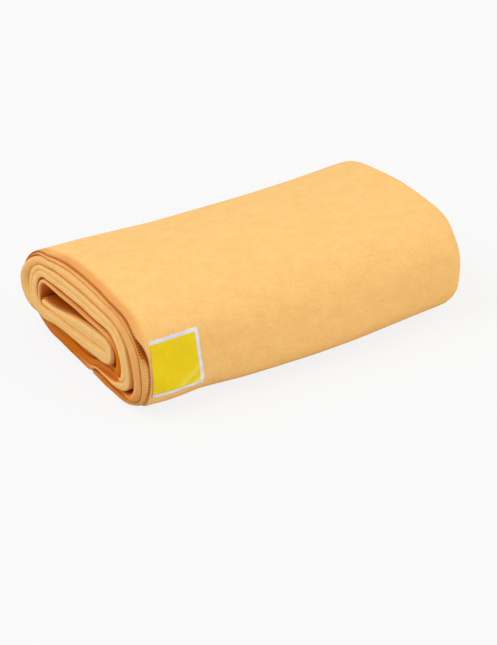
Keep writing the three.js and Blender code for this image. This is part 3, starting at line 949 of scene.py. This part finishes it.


# Satin weave: warp and weft as two waves across the label's own map, and a painted highlight along its
# creases
def wovenMaterial(name, look):
    material = bpy.data.materials.new(name + "Weave")
    nodes = Nodes(material)
    warp, weft = (nodes.wave(Scale=1 / look["weave"], bands_direction=axis) for axis in "XY")
    threads = nodes.maths("MULTIPLY", warp, weft)
    patches = nodes.noise(**look["patches"])
    tone = nodes.maths("ADD", nodes.maths("MULTIPLY", threads, look["threadTone"]),
                       nodes.maths("MULTIPLY", patches, look["patchTone"]))
    paintedShading = nodes.add("ShaderNodeAttribute", attribute_name="paintedShading").outputs["Fac"]
    woven = nodes.ramp(tone, look["tones"], (look[name + "Shade"], look[name]))
    woven = nodes.mix(paintedShading, woven, look[name + "PaintedHighlight"])
    nodes.shade(woven, nodes.bump(threads, *look["bump"]), look["sockets"])
    return material


# A thin closed patch on the outermost ply: the label less an inset at every edge but its left one. It
# lies at depth + above, and its top at depth + above + thickness + crumple, where the crumple is a
# ripple, the lifted edge and the ridges of the creases. The creases also carry a painted highlight.
def labelPatch(name, inset, above, thickness, material):
    outermost = stationRows[:, 4] > label["firstPlace"]
    rows, depth = stationRows[outermost][::-1], stripDepth[outermost][::-1]
    face = inRoll(rows, depth, np.zeros(len(rows)), depth)
    front = face[:, 1] < label["frontY"]
    rows, depth, face = rows[front], depth[front], face[front]
    length = lengthAlong(face)
    foot = np.interp(label["bottom"], face[:, 2], length)
    up = foot + np.linspace(inset, label["height"] - inset, label["rows"])
    rows = resampled(rows, length, up)[:, None, :]
    depth = np.interp(up, length, depth)[:, None]
    across, up = np.meshgrid(np.linspace(0, label["width"] - inset, label["columns"]), up)
    u, v = across / label["width"], (up - foot) / label["height"]
    x = label["leftX"] + across + label["lean"] * (1 - u) * (1 - v)
    ripple = 1 + np.sin(label["rippleTurns"][0] * u + label["rippleTurns"][1] * v)
    # Ridges along the creases: they lift the label and mark where its painted highlight lies
    ridgeAndHighlight = np.zeros_like(u)
    for start, slope, strength in label["creases"]:
        ridge = np.exp(-((v - slope * (u - start)) / label["creaseWidth"]) ** 2) * strength
        ridge = ridge * ease(u, start - label["creaseStart"], start + label["creaseStart"])
        ridgeAndHighlight = np.maximum(ridgeAndHighlight, ridge)
    crumple = label["ripple"] * ripple + label["edgeLift"] * ease(u, *label["liftFrom"])
    crumple = crumple + label["creaseHeight"] * ridgeAndHighlight
    top = inRoll(rows, depth, x, depth + above + thickness + crumple)
    bottom = inRoll(rows, depth, x, depth + above + label["undersideShare"] * crumple)
    around = lambda over, under: np.concatenate([over, under[:, ::-1]], axis=1)
    uv = np.stack([across, up], axis=-1)
    faces = flatTubeFaces(label["rows"], 2 * label["columns"])[:, ::-1]  # the rows run up the front
    return makePiece(name, settle(around(top, bottom)), faces, material,
                     {"paintedShading": around(ridgeAndHighlight, ridgeAndHighlight)}, around(uv, uv))


labelRibbon = labelPatch("labelRibbon", 0, label["above"], label["thickness"],
                         wovenMaterial("ribbon", labelLook))
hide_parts("label_ribbon")
fieldAbove = label["above"] + label["thickness"] - label["fieldSunk"]
labelField = labelPatch("labelField", label["border"], fieldAbove, label["fieldThickness"],
                        wovenMaterial("field", labelLook))
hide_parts("label_panel")
print("label made")


# Studio: a pale floor, a pale world and three large soft lamps, in metres
studio = {
    "floorColour": (0.68, 0.67, 0.66, 1),
    "floorReach": 8,
    "floorGlow": 0.84,  # share of plain white that the camera sees on the floor
    "worldLight": 0.50,
    "worldColour": (0.98, 0.99, 1.0, 1),
    "white": (1, 1, 1, 1),
    "aim": (0, 0, 0.03),  # the middle of the roll
}

lamps = {
    "keyLamp": {"place": (-1.1, 0.6, 1.7), "power": 28, "size": 1.6, "tint": (0.91, 0.955, 1.0)},
    "fillLamp": {"place": (0.6, -1.7, 0.7), "power": 12.5, "size": 1.2, "tint": (1.0, 0.92, 0.78)},
    "endLamp": {"place": (1.6, 0.3, 0.6), "power": 7, "size": 1.4, "tint": (1.0, 0.97, 0.92)},
}


# Factor that is 1 for what the camera sees, directly, in gloss or through glass
def seenByCamera(nodes):
    path = nodes.add("ShaderNodeLightPath")
    seen = nodes.maths("MAXIMUM", path.outputs["Is Camera Ray"], path.outputs["Is Glossy Ray"])
    return nodes.maths("MAXIMUM", seen, path.outputs["Is Transmission Ray"])


# Surface of a material or the world, mixed from two shaders by a factor
def mixedSurface(nodes, output, factor, first, second):
    both = nodes.add("ShaderNodeMixShader")
    nodes.feed(both.inputs, (factor, first.outputs[0], second.outputs[0]))
    nodes.link(both.outputs[0], nodes.add(output).inputs["Surface"])


# Floor: pale paint for the light, and mostly plain white to the camera
def makeFloor():
    material = bpy.data.materials.new("floorPaint")
    nodes = Nodes(material)
    nodes.tree.nodes.clear()
    paint = nodes.add("ShaderNodeBsdfDiffuse", Color=studio["floorColour"])
    glow = nodes.add("ShaderNodeEmission", Color=studio["white"])
    share = nodes.maths("MULTIPLY", seenByCamera(nodes), studio["floorGlow"])
    mixedSurface(nodes, "ShaderNodeOutputMaterial", share, paint, glow)
    reach = studio["floorReach"]
    corners = [(-reach, -reach, 0), (reach, -reach, 0), (reach, reach, 0), (-reach, reach, 0)]
    mesh = bpy.data.meshes.new("floor")
    mesh.from_pydata(corners, [], [(0, 1, 2, 3)])
    mesh.materials.append(material)
    floor = bpy.data.objects.new("floor", mesh)
    bpy.context.collection.objects.link(floor)
    return floor


# A square soft lamp that looks at the middle of the roll
def makeLamp(name, lamp):
    data = bpy.data.lights.new(name, "AREA")
    data.energy = lamp["power"]
    data.color = lamp["tint"]
    data.size = lamp["size"]
    back = unit(np.array(lamp["place"]) - np.array(studio["aim"]))
    side = unit(np.cross([0, 0, 1], back))
    placeObject(name, data, lamp["place"], (side, np.cross(back, side), back))


# A world that lights the roll softly and looks white to the camera
def makeWorld():
    world = bpy.data.worlds.new("studio")
    bpy.context.scene.world = world
    nodes = Nodes(world)
    nodes.tree.nodes.clear()
    light = nodes.add("ShaderNodeBackground", Color=studio["worldColour"], Strength=studio["worldLight"])
    white = nodes.add("ShaderNodeBackground", Color=studio["white"])
    mixedSurface(nodes, "ShaderNodeOutputWorld", seenByCamera(nodes), light, white)


floor = makeFloor()
makeWorld()
for lampName, lamp in lamps.items():
    makeLamp(lampName, lamp)
bpy.context.scene.view_settings.view_transform = "Standard"
print("studio lit")
